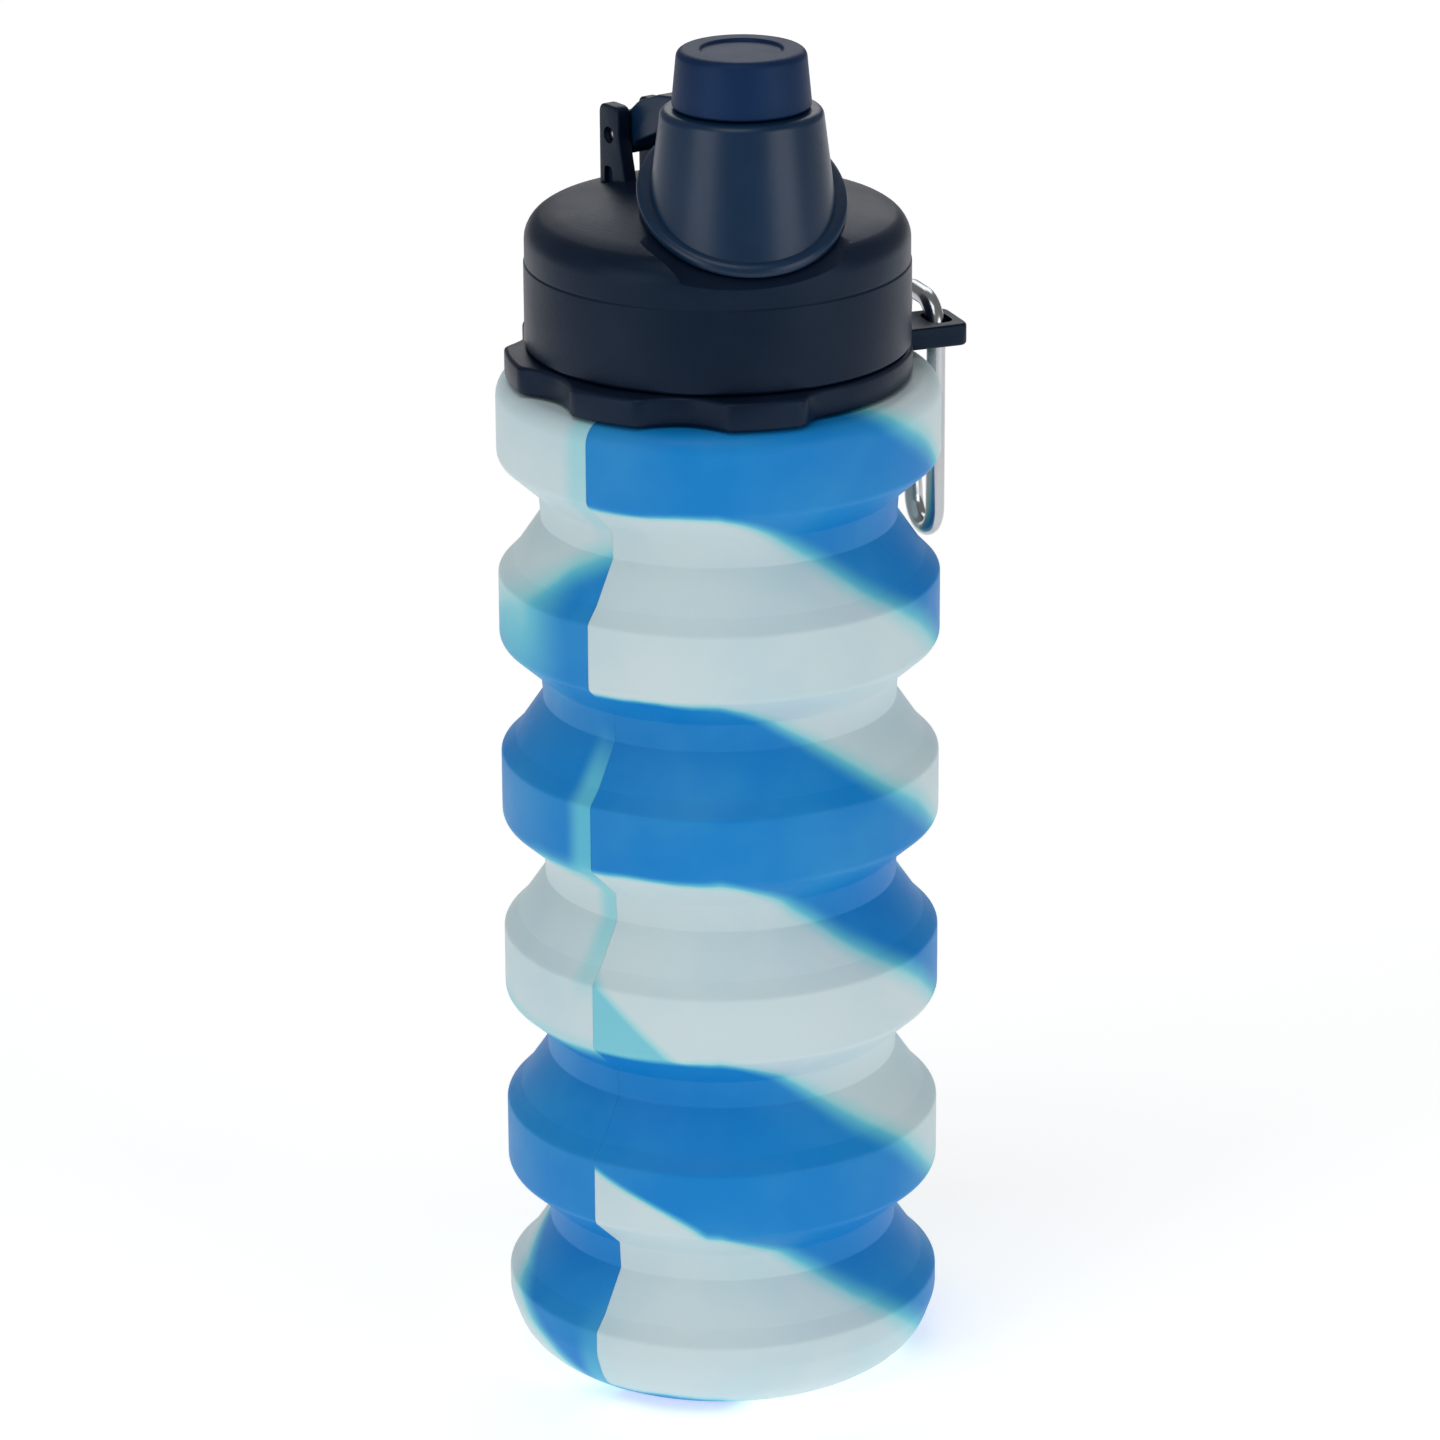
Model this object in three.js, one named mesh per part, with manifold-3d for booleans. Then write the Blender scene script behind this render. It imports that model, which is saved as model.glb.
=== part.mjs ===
// Folding water bottle: a bellows body of silicone rings, a threaded neck with a scalloped collar and
// carrying tab, a screw lid with a hinged spout cap, and a snap hook. Millimetres, +Z up.
// The origin is the centre of the base, on the surface the bottle stands on. The bottle is modelled opened out.
import * as THREE from "three";
import { mergeVertices } from "three/addons/utils/BufferGeometryUtils.js";
import Module from "manifold-3d";

const wasm = await Module();
wasm.setup();

// Driving dimensions, in millimetres and degrees
const GAP = 0.3; // between pieces that rest on each other
const AROUND = 32; // facets round a large revolved piece
const AROUND_SMALL = 20; // facets round a small one

const RING_R = 35; // outside of every bellows ring
const NECK = { r: 28.3, low: -3.2, high: 1.2 }; // narrowest stretch of a fold, about the fold's height
const PITCH = 30.083; // ring to ring, opened out
const FIRST_NECK_Z = 25.2; // lowest fold
const FOLDS = 5;
const WALL = 1.8; // silicone wall
const BASE_WALL = 2.4;
const BAND_LOW = 6.27; // a ring's band, above the fold under it
const BAND_HIGH = 17;
const RIM = { r: 34.4, z: 18.1 }; // the rounded upper edge of a band
const KINK = { r: 32.66, z: 20.2 }; // where the slope above the rim steepens
const CUT_LOW = 4.6; // a stiff band ends and a soft fold begins, above the fold under it
const CUT_HIGH = 18.6;
const BASE_FLAT_R = 25.6; // flat part of the base
const BASE_ROUND = 8.8; // radius of the base's edge

const ROOF_Z = 165.3; // top of the silicone body
const ROOF_WALL = 2.6;
const MOUTH_R = 26.7; // hole in the silicone roof

const TUBE = { outer: 26.4, inner: 23.2, low: 161.2, high: 184.5 }; // threaded neck
const TUBE_FLANGE = { r: 30.6, thick: 1.2 };

const COLLAR = { r: 33.5, low: ROOF_Z + GAP, high: 170.2, lobes: 8, notch: 3 };
const NOTCH_ANGLE = -99.5; // direction of one notch's middle
const PLAIN_HALF = 83; // the collar has no lobes this far to either side of its tab
const TAB = { angle: 20.6, tip: 40.6, half: 5, low: 166.6 };
const SLOT = { r: 36.95, half: 3.1, round: 2.05 }; // slot in the tab: its distance out and half lengths

const LID = { r: 30.3, inner: 27.7, low: COLLAR.high + GAP, land: 186.9, landR: 22.3, top: 196.2 };
const SEAL = { outer: 27.2, inner: 22.7, thick: 1.8 };

const CAP_X = 3.8; // upright axis of spout and cap
const CAP_Y = -12;
const SEAT = { z: 196, slopeX: -0.073, slopeY: 0.48, ahead: 4 }; // tilted plane that the cap's flange rests on
const FLANGE = { r: 16.2, thick: 1.8 };
const CAP = { topR: 12.5, topZ: 211, lowR: 15.5, lowZ: 187.3, wall: 2.2 };
const KNOB = { topR: 9.85, lowR: 10.8, low: CAP.topZ + GAP, high: 220.2, stem: 4 };
const SPOUT = { outer: 5.6, inner: 3.6, low: 187.4, high: 207.2, flangeR: 8 };

const HINGE = { x: -12.9, y: 12, z: 201.2, top: 206, base: 190.5 }; // cap hinge: the middle of its pin
const EAR = { thick: 2.4, half: 2.7, foot: 5.4, gap: 5, floor: 196 };
const PIN_R = 1.2;
const ARM_WIDE = 4.4;

const ROD = 1.5; // snap hook: radius of its rod
const HOOK = { wide: 14, topR: 5, topZ: 172.6, lowR: 4.5, lowZ: 134.1, nose: 163.6 };
const GATE = { s: 9.6, z: 142.8, r: 1.4, bore: 0.85, long: 19 }; // gate pivot in the hook's plane
const RIVET_R = 0.5;

const rad = THREE.MathUtils.degToRad;
const group = new THREE.Group();

// Geometry helpers

function solid(geometry) {
  const bare = geometry.clone();
  bare.deleteAttribute("normal");
  bare.deleteAttribute("uv");
  const merged = mergeVertices(bare, 1e-4);
  const triVerts = new Uint32Array(merged.index.array);
  const vertProperties = merged.attributes.position.array;
  return new wasm.Manifold(new wasm.Mesh({ numProp: 3, vertProperties, triVerts }));
}

function geometryOf(manifold) {
  const mesh = manifold.getMesh();
  const geometry = new THREE.BufferGeometry();
  geometry.setAttribute("position", new THREE.BufferAttribute(mesh.vertProperties, 3));
  geometry.setIndex(new THREE.BufferAttribute(mesh.triVerts, 1));
  return geometry;
}

// A profile of [radius, height] points turned about the upright axis, and moved to x, y.
function turned(points, around = AROUND, x = 0, y = 0) {
  const outline = points.map(([r, z]) => new THREE.Vector2(r, z));
  const geometry = new THREE.LatheGeometry(outline, around);
  geometry.rotateX(Math.PI / 2);
  geometry.translate(x, y, 0);
  return geometry;
}

// A closed ring section: the profile ends where it starts.
function ringOf(points, around = AROUND, x = 0, y = 0) {
  return turned([...points, points[0]], around, x, y);
}

// An upright prism of a flat shape between two heights.
function prism(shape, low, high, curveSegments = 8) {
  const geometry = new THREE.ExtrudeGeometry(shape, {
    depth: high - low,
    bevelEnabled: false,
    curveSegments,
  });
  geometry.translate(0, 0, low);
  return geometry;
}

function cylinder(radius, length, around = AROUND_SMALL) {
  return new THREE.CylinderGeometry(radius, radius, length, around);
}

function add(name, geometry, material) {
  const mesh = new THREE.Mesh(geometry, material);
  mesh.name = name;
  group.add(mesh);
}

function paint(color, roughness, metalness = 0) {
  return new THREE.MeshStandardMaterial({ color, roughness, metalness });
}

// Bellows wall: one outline over the whole height, cut into stiff bands and soft folds

function bellowsOutline() {
  const points = [];
  for (let i = 0; i <= 4; i++) {
    const a = rad(-90 + (70 * i) / 4);
    points.push([BASE_FLAT_R + BASE_ROUND * Math.cos(a), BASE_ROUND + BASE_ROUND * Math.sin(a)]);
  }
  for (let k = 0; k <= FOLDS; k++) {
    const z = FIRST_NECK_Z + (k - 1) * PITCH; // the fold under this ring
    if (k > 0) points.push([NECK.r, z + NECK.low], [NECK.r, z + NECK.high], [34.4, z + BAND_LOW - 0.2]);
    points.push([RING_R, k > 0 ? z + BAND_LOW + 1.6 : BASE_ROUND]);
    if (k === FOLDS) break;
    points.push([RING_R, z + BAND_HIGH], [RIM.r, z + RIM.z], [KINK.r, z + KINK.z]);
  }
  return points;
}

// The same outline moved inwards by the wall's thickness, with mitred corners.
function movedIn(points, wall) {
  const lines = points.slice(1).map(([r, z], i) => {
    const dr = r - points[i][0];
    const dz = z - points[i][1];
    const n = Math.hypot(dr, dz);
    const r0 = points[i][0] - (wall * dz) / n;
    return { r: r0, z: points[i][1] + (wall * dr) / n, dr, dz };
  });
  const inner = [[lines[0].r, lines[0].z]];
  for (let i = 1; i < lines.length; i++) {
    const a = lines[i - 1];
    const b = lines[i];
    const t = ((b.r - a.r) * b.dz - (b.z - a.z) * b.dr) / (a.dr * b.dz - a.dz * b.dr || 1e-9);
    const straight = Math.abs(a.dr * b.dz - a.dz * b.dr) < 1e-6;
    inner.push(straight ? [b.r, b.z] : [a.r + t * a.dr, a.z + t * a.dz]);
  }
  const last = lines[lines.length - 1];
  inner.push([last.r + last.dr, last.z + last.dz]);
  return inner;
}

// The part of an outline between two heights.
function slice(points, low, high) {
  const at = (z) => {
    const i = points.findIndex((p, j) => j > 0 && p[1] >= z);
    const [r0, z0] = points[i - 1];
    const [r1, z1] = points[i];
    return [r0 + ((r1 - r0) * (z - z0)) / (z1 - z0), z];
  };
  return [at(low), ...points.filter((p) => p[1] > low + 0.05 && p[1] < high - 0.05), at(high)];
}

const outer = bellowsOutline();
const inner = movedIn(outer, WALL);
const neckZ = (k) => FIRST_NECK_Z + (k - 1) * PITCH; // k = 1 is the lowest fold

function wallSection(low, high) {
  return [...slice(outer, low, high), ...slice(inner, low, high).reverse()];
}

function baseCup() {
  const top = neckZ(0) + CUT_HIGH;
  const outside = [...outer.filter((p) => p[1] < top - 0.05), slice(outer, 1, top).pop()];
  const inside = slice(inner, BASE_WALL, top).reverse();
  return turned([[0, 0], ...outside, ...inside, [0, BASE_WALL]]);
}

function topRing() {
  const low = neckZ(FOLDS) + CUT_LOW;
  const under = ROOF_Z - ROOF_WALL;
  return ringOf([
    ...slice(outer, low, neckZ(FOLDS) + 7.8),
    [RING_R, 160.8],
    [34.5, 163],
    [33.2, 164.7],
    [31.4, ROOF_Z],
    [MOUTH_R, ROOF_Z],
    [MOUTH_R, under],
    [31.2, under],
    [32.6, 161.6],
    [33.2, 159.6],
    ...slice(inner, low, neckZ(FOLDS) + 7.8).reverse(),
  ]);
}

// Neck and collar

function neckRing() {
  const step = TUBE.low + TUBE_FLANGE.thick;
  return ringOf([
    [TUBE.inner, TUBE.low],
    [TUBE_FLANGE.r, TUBE.low],
    [TUBE_FLANGE.r, step],
    [TUBE.outer, step],
    [TUBE.outer, TUBE.high],
    [TUBE.inner, TUBE.high],
  ]);
}

function scalloped() {
  const steps = COLLAR.lobes * 10;
  const points = [];
  for (let i = 0; i < steps; i++) {
    const a = (2 * Math.PI * i) / steps;
    const wave = Math.cos(COLLAR.lobes * (a - rad(NOTCH_ANGLE)));
    const dip = Math.max(0, (wave + 0.1) / 1.1) ** 0.8;
    const fromTab = Math.abs(Math.atan2(Math.sin(a - rad(TAB.angle)), Math.cos(a - rad(TAB.angle))));
    const lobed = THREE.MathUtils.smoothstep(fromTab, rad(PLAIN_HALF - 4), rad(PLAIN_HALF + 4));
    const r = COLLAR.r - COLLAR.notch * (1 - lobed * (1 - dip));
    points.push(new THREE.Vector2(r * Math.cos(a), r * Math.sin(a)));
  }
  const shape = new THREE.Shape(points);
  const hole = new THREE.Path();
  hole.absarc(0, 0, TUBE.outer + GAP, 0, 2 * Math.PI, true);
  shape.holes.push(hole);
  return shape;
}

function tabShape() {
  const shape = new THREE.Shape();
  const corner = 1.4;
  shape.moveTo(29, -TAB.half);
  shape.lineTo(TAB.tip - corner, -TAB.half);
  shape.lineTo(TAB.tip, corner - TAB.half);
  shape.lineTo(TAB.tip, TAB.half - corner);
  shape.lineTo(TAB.tip - corner, TAB.half);
  shape.lineTo(29, TAB.half);
  return shape;
}

function slotShape() {
  const straight = SLOT.half - SLOT.round;
  const shape = new THREE.Shape();
  shape.absarc(SLOT.r, straight, SLOT.round, 0, Math.PI, false);
  shape.absarc(SLOT.r, -straight, SLOT.round, Math.PI, 2 * Math.PI, false);
  return shape;
}

function collar() {
  const ring = solid(prism(scalloped(), COLLAR.low, COLLAR.high, 16));
  const turnTab = (geometry) => geometry.rotateZ(rad(TAB.angle));
  const tab = solid(turnTab(prism(tabShape(), TAB.low, COLLAR.high)));
  const slot = solid(turnTab(prism(slotShape(), TAB.low - 2, COLLAR.high + 2, 8)));
  const bore = solid(cylinder(TUBE.outer + GAP, 30, AROUND).rotateX(Math.PI / 2).translate(0, 0, 168));
  return geometryOf(ring.add(tab.subtract(bore)).subtract(slot));
}

// Lid, spout and cap

function seatZ(x, y) {
  return SEAT.z + SEAT.slopeX * (x - CAP_X) + SEAT.slopeY * (y - CAP_Y);
}

// An upright cylinder on the cap's axis; an end given as a number is level, and an end given as
// { lift } lies that far above the tilted seat.
function seatCylinder(radius, low, high, around = AROUND) {
  const geometry = cylinder(radius, 1, around).rotateX(Math.PI / 2).translate(CAP_X, CAP_Y, 0);
  const p = geometry.attributes.position;
  for (let i = 0; i < p.count; i++) {
    const end = p.getZ(i) < 0 ? low : high;
    p.setZ(i, typeof end === "number" ? end : seatZ(p.getX(i), p.getY(i)) + end.lift);
  }
  return geometry;
}

// The hinge's own frame: +X from the pin to the cap's axis, +Y along the pin.
const toCap = Math.atan2(CAP_Y - HINGE.y, CAP_X - HINGE.x);
const reach = Math.hypot(CAP_X - HINGE.x, CAP_Y - HINGE.y);

function atHinge(geometry) {
  return geometry.rotateZ(toCap).translate(HINGE.x, HINGE.y, 0);
}

function earShape() {
  const shape = new THREE.Shape();
  shape.moveTo(-EAR.half, HINGE.base);
  shape.lineTo(EAR.foot, HINGE.base);
  shape.lineTo(EAR.half + 0.9, EAR.floor + 1.5);
  shape.lineTo(EAR.half, HINGE.z);
  shape.lineTo(EAR.half, HINGE.top);
  shape.lineTo(-EAR.half, HINGE.top);
  return shape;
}

function ears() {
  const wide = EAR.gap + 2 * EAR.thick;
  const block = prism(earShape(), -wide / 2, wide / 2).rotateX(Math.PI / 2);
  const cleft = new THREE.BoxGeometry(20, EAR.gap, 20).translate(0, 0, EAR.floor + 10);
  const hole = cylinder(PIN_R + GAP, wide + 2).translate(0, 0, HINGE.z);
  return solid(atHinge(block)).subtract(solid(atHinge(cleft))).subtract(solid(atHinge(hole)));
}

function lidShell() {
  const dome = solid(
    turned([
      [0, LID.top - 2.3],
      [12, 192.9],
      [20, 191.3],
      [LID.landR, 190.4],
      [LID.landR, LID.land],
      [LID.inner, LID.land],
      [LID.inner, LID.low],
      [LID.r, LID.low],
      [LID.r, 186.2],
      [30.05, 187.7],
      [29.3, 189.1],
      [28, 190.3],
      [25, 191.9],
      [20, 193.6],
      [12, 195.2],
      [0, LID.top],
    ]),
  );
  const boss = solid(seatCylinder(FLANGE.r - 0.4, 189.5, LID.top + 20));
  const seatCut = () => seatCylinder(FLANGE.r + GAP, { lift: -GAP }, 225);
  const facet = solid(seatCut().translate(0, -SEAT.ahead, -SEAT.slopeY * SEAT.ahead)); // opens the seat forwards
  const seat = solid(seatCut()).add(facet);
  const bore = solid(seatCylinder(SPOUT.outer + GAP, 180, 215, AROUND_SMALL));
  return geometryOf(dome.add(boss).subtract(seat).add(ears()).subtract(bore));
}

function lidSeal() {
  const high = LID.land - GAP;
  const low = high - SEAL.thick;
  return ringOf([
    [SEAL.inner, low],
    [SEAL.outer, low],
    [SEAL.outer, high],
    [SEAL.inner, high],
  ]);
}

function drinkingSpout() {
  const { outer: r, inner: bore, low, high, flangeR } = SPOUT;
  return ringOf(
    [
      [bore, low],
      [flangeR, low],
      [flangeR, low + 1.8],
      [r, low + 1.8],
      [r, high - 3],
      [r + 0.7, high - 1.8],
      [r + 0.4, high - 0.4],
      [r - 0.4, high],
      [bore, high],
    ],
    AROUND_SMALL,
    CAP_X,
    CAP_Y,
  );
}

function armShape() {
  const frustum = reach - CAP.topR; // from the pin to the cap's side
  const shape = new THREE.Shape();
  shape.moveTo(3.2, 200.4);
  shape.lineTo(9, 202.8);
  shape.lineTo(11.6, 205.6);
  shape.lineTo(frustum + 1.2, 206.2);
  shape.lineTo(frustum + 1.2, 210.3);
  shape.lineTo(9.5, 209.2);
  shape.lineTo(4, 207);
  shape.lineTo(0.8, 204.5);
  shape.absarc(0, HINGE.z, 3.4, rad(76), rad(346), false);
  return shape;
}

function flipCap() {
  const side = (z) => CAP.lowR + ((CAP.topR - CAP.lowR) * (z - CAP.lowZ)) / (CAP.topZ - CAP.lowZ);
  const outside = turned(
    [
      [0, CAP.lowZ],
      [CAP.lowR, CAP.lowZ],
      [side(CAP.topZ - 1.2), CAP.topZ - 1.2],
      [CAP.topR - 1.1, CAP.topZ],
      [0, CAP.topZ],
    ],
    AROUND,
    CAP_X,
    CAP_Y,
  );
  const ceiling = CAP.topZ - CAP.wall;
  const hollow = turned(
    [
      [0, CAP.lowZ - 4],
      [CAP.lowR - CAP.wall, CAP.lowZ - 4],
      [CAP.lowR - CAP.wall, CAP.lowZ],
      [side(ceiling) - CAP.wall, ceiling],
      [0, ceiling],
    ],
    AROUND,
    CAP_X,
    CAP_Y,
  );
  const flange = seatCylinder(FLANGE.r, { lift: 0 }, { lift: FLANGE.thick });
  const below = seatCylinder(FLANGE.r + 8, 170, { lift: 0 });
  const arm = prism(armShape(), -ARM_WIDE / 2, ARM_WIDE / 2, 8).rotateX(Math.PI / 2);
  const eye = cylinder(PIN_R + GAP, 20).translate(0, 0, HINGE.z);
  const stem = seatCylinder(KNOB.stem + GAP, 200, 215, AROUND_SMALL);
  return geometryOf(
    solid(outside)
      .add(solid(flange))
      .subtract(solid(below))
      .add(solid(atHinge(arm)))
      .subtract(solid(hollow))
      .subtract(solid(atHinge(eye)))
      .subtract(solid(stem)),
  );
}

function capKnob() {
  const ceiling = CAP.topZ - CAP.wall - GAP;
  return turned(
    [
      [0, 204.6],
      [2, 204.6],
      [3, 207.5],
      [KNOB.stem + 1, 207.7],
      [KNOB.stem + 1, ceiling],
      [KNOB.stem, ceiling],
      [KNOB.stem, KNOB.low],
      [KNOB.lowR, KNOB.low],
      [KNOB.topR, KNOB.high - 1.2],
      [KNOB.topR - 0.5, KNOB.high - 0.3],
      [KNOB.topR - 1.3, KNOB.high],
      [6.4, KNOB.high],
      [6, KNOB.high - 0.5],
      [0, KNOB.high - 0.5],
    ],
    24,
    CAP_X,
    CAP_Y,
  );
}

function hingePin() {
  return atHinge(cylinder(PIN_R, EAR.gap + 2 * EAR.thick).translate(0, 0, HINGE.z));
}

// Snap hook: drawn in its own plane, with s across and z up, then stood upright against the ring

function atHook(geometry) {
  return geometry.rotateZ(rad(TAB.angle)).translate(
    SLOT.r * Math.cos(rad(TAB.angle)),
    SLOT.r * Math.sin(rad(TAB.angle)),
    0,
  );
}

// Points on an arc in the hook's plane, without its first point.
function arc(s, z, r, from, to, steps) {
  const points = [];
  for (let i = 1; i <= steps; i++) {
    const a = rad(from + ((to - from) * i) / steps);
    points.push(new THREE.Vector3(0, s + r * Math.cos(a), z + r * Math.sin(a)));
  }
  return points;
}

function rodAlong(points, r, sides) {
  const section = new THREE.Shape();
  for (let i = 0; i < sides; i++) {
    const a = (2 * Math.PI * (i + 0.5)) / sides;
    if (i) section.lineTo(r * Math.cos(a), r * Math.sin(a));
    else section.moveTo(r * Math.cos(a), r * Math.sin(a));
  }
  const path = new THREE.CurvePath();
  points.slice(1).forEach((p, i) => path.add(new THREE.LineCurve3(points[i], p)));
  return new THREE.ExtrudeGeometry(section, { steps: 64, extrudePath: path, bevelEnabled: false });
}

// A disc across the hook's plane, centred on the gate's pivot.
function pivotDisc(r, thick, offset = 0) {
  return atHook(cylinder(r, thick, 12).rotateZ(Math.PI / 2).translate(offset, GATE.s, GATE.z));
}

function hookBody() {
  const topMid = HOOK.topZ - HOOK.topR;
  const lowMid = HOOK.lowZ + HOOK.lowR;
  const path = [
    new THREE.Vector3(0, HOOK.wide, HOOK.nose),
    new THREE.Vector3(0, HOOK.wide, topMid),
    ...arc(HOOK.wide - HOOK.topR, topMid, HOOK.topR, 0, 90, 6),
    new THREE.Vector3(0, HOOK.topR, HOOK.topZ),
    ...arc(HOOK.topR, topMid, HOOK.topR, 90, 180, 6),
    new THREE.Vector3(0, 0, lowMid),
    ...arc(HOOK.lowR, lowMid, HOOK.lowR, 180, 360, 12),
    new THREE.Vector3(0, 2 * HOOK.lowR + 0.3, GATE.z - 2.2),
  ];
  const lug = new THREE.BoxGeometry(1, 1.9, 3.2).translate(0, GATE.s - 0.15, GATE.z - 1.6);
  return geometryOf(
    solid(atHook(rodAlong(path, ROD, 8)))
      .add(solid(atHook(lug)))
      .add(solid(pivotDisc(1.1, 1)))
      .subtract(solid(pivotDisc(RIVET_R + 0.2, 4))),
  );
}

const gateLean = Math.atan2(HOOK.wide - GATE.s - 0.2, HOOK.nose - GATE.z); // from upright

function atGate(geometry) {
  return atHook(geometry.rotateX(-gateLean).translate(0, GATE.s, GATE.z));
}

function hookGate() {
  const tube = cylinder(GATE.r, GATE.long + 1.3, 12).rotateX(Math.PI / 2).translate(0, 0, (GATE.long - 1.3) / 2);
  const bore = cylinder(GATE.bore, GATE.long, 8).rotateX(Math.PI / 2).translate(0, 0, 2.4 + GATE.long / 2);
  const cleft = new THREE.BoxGeometry(1.4, 4, 4);
  return geometryOf(
    solid(atGate(tube))
      .subtract(solid(atGate(bore)))
      .subtract(solid(atGate(cleft)))
      .subtract(solid(pivotDisc(RIVET_R + 0.2, 6))),
  );
}

function gateSpring() {
  const long = GATE.long - 6;
  return atGate(cylinder(GATE.bore - GAP, long, 8).rotateX(Math.PI / 2).translate(0, 0, 3.6 + long / 2));
}

const blue = paint(0x167ab9, 0.45);
const white = paint(0xc8d8dc, 0.45);
const navy = paint(0x1c2434, 0.5);
const gloss = paint(0x1e3755, 0.25);
const soft = paint(0x15375f, 0.6);
const rubber = paint(0x9fb4bd, 0.7);
const steel = paint(0x9a9fa4, 0.35, 1);
const silver = paint(0xcfd4d8, 0.3, 1);

add("base_cup", baseCup(), white);
for (let k = 1; k <= FOLDS; k++) {
  const ring = FOLDS + 1 - k; // rings are numbered from the top
  const low = neckZ(k - 1) + CUT_HIGH + GAP;
  add("fold_" + ring, ringOf(wallSection(low, neckZ(k) + CUT_LOW - GAP)), ring % 2 ? white : blue);
  if (ring === 1) break;
  add("band_" + ring, ringOf(wallSection(neckZ(k) + CUT_LOW, neckZ(k) + CUT_HIGH)), ring % 2 ? blue : white);
}
add("top_ring", topRing(), blue);
add("neck_ring", neckRing(), navy);
add("collar", collar(), navy);
add("lid_seal", lidSeal(), rubber);
add("lid_shell", lidShell(), navy);
add("drinking_spout", drinkingSpout(), rubber);
add("flip_cap", flipCap(), gloss);
add("cap_knob", capKnob(), soft);
add("hinge_pin", hingePin(), steel);
add("hook_body", hookBody(), silver);
add("hook_gate", hookGate(), silver);
add("gate_rivet", pivotDisc(RIVET_R, 3.2), steel);
add("gate_spring", gateSpring(), steel);

export default group;
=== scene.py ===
"""Folding water bottle: silicone bellows body, threaded neck, collar, screw lid, spout cap, snap hook."""

import math

import bmesh
import bpy
from mathutils import Matrix, Vector


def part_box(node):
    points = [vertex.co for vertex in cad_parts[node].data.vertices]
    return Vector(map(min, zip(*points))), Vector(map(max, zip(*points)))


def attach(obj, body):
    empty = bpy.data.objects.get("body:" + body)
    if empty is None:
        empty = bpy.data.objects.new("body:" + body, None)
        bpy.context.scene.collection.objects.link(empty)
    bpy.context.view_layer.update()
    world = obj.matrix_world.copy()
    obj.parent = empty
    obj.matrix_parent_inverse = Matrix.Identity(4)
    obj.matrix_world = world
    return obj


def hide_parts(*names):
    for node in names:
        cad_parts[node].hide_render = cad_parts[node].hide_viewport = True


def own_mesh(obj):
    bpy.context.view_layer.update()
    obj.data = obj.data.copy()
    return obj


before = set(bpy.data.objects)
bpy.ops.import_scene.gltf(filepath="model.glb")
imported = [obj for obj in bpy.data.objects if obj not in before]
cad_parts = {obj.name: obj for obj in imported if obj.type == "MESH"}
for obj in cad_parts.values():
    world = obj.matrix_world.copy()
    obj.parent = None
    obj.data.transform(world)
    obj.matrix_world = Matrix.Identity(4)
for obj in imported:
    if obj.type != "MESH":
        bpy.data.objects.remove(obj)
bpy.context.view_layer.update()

bl_info = {
    "name": "Folding Water Bottle",
    "version": (1, 0, 0),
    "blender": (4, 5, 0),
    "location": "View3D > Sidebar > Bottle",
    "description": "Models a folding silicone bottle with its lid, spout cap and snap hook",
    "category": "Add Mesh",
}

MM = 0.001
FULL_TURN = 2 * math.pi


def low(node):
    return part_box(node)[0]


def high(node):
    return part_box(node)[1]


# Places worked out from the frame
RING_R = high("band_3").x
PITCH = low("band_3").z - low("band_4").z
FOLDS = 5
CUT_LOW = 4.6 * MM  # a band starts this far above the fold under it
CUT_HIGH = 18.6 * MM  # and ends this far above it
FIRST_FOLD_Z = low("band_5").z - CUT_LOW
ROOF_Z = high("top_ring").z
TRAVEL = 14.2 * MM  # of each fold
LID_LOW = low("lid_shell").z
LID_R = high("lid_shell").x
COLLAR_LOW, COLLAR_HIGH = low("collar").z, high("collar").z
CAP_AXIS = (low("cap_knob") + high("cap_knob")) / 2
CAP_X, CAP_Y = CAP_AXIS.x, CAP_AXIS.y
FLANGE_R = 16.2 * MM
PIN = (low("hinge_pin") + high("hinge_pin")) / 2
TO_CAP = Vector((CAP_X - PIN.x, CAP_Y - PIN.y, 0))
SEAT_Z = 196 * MM  # the cap's flange lies on a tilted seat: its height on the cap's axis
SEAT_SLOPE = (-0.073, 0.48)  # and its rise along X and Y
GAP = 0.3 * MM  # between pieces that move on each other
TAB_ANGLE = math.radians(20.6)  # direction of the carrying tab
SLOT_R = 36.95 * MM  # distance of its slot from the bottle's axis


# ---------------------------------------------------------------- settings


def length(name, description, default):
    return bpy.props.FloatProperty(
        name=name, description=description, default=default, min=0, unit="LENGTH", precision=4
    )


def colour(name, description, default):
    return bpy.props.FloatVectorProperty(
        name=name, description=description, default=default, size=3, min=0, max=1, subtype="COLOR"
    )


class BodySettings(bpy.types.PropertyGroup):
    neck_radius: length("Fold radius", "Outside radius of the narrowest fold", 28.2 * MM)
    wall: length("Wall", "Thickness of the silicone", 1.8 * MM)
    around: bpy.props.IntProperty(name="Steps", description="Steps round the body", default=144, min=24)
    blue: colour("Blue", "Main silicone colour", (0.002, 0.215, 0.60))
    white: colour("White", "Second silicone colour", (0.60, 0.72, 0.75))
    mingled: colour("Mingled", "Where the two colours flow into each other", (0.12, 0.53, 0.68))


class LidSettings(bpy.types.PropertyGroup):
    plastic: colour("Lid", "Matt plastic of lid, collar and neck", (0.003, 0.008, 0.022))
    cap: colour("Cap", "Satin plastic of the spout cap", (0.001, 0.018, 0.052))
    knob: colour("Knob", "Soft plastic of the knob", (0.002, 0.016, 0.062))
    seal: colour("Seal", "Silicone of seal and spout", (0.45, 0.56, 0.62))


class HookSettings(bpy.types.PropertyGroup):
    rod: length("Rod", "Radius of the hook's rod", 1.5 * MM)
    metal: colour("Metal", "Polished metal", (0.50, 0.52, 0.54))


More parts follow.
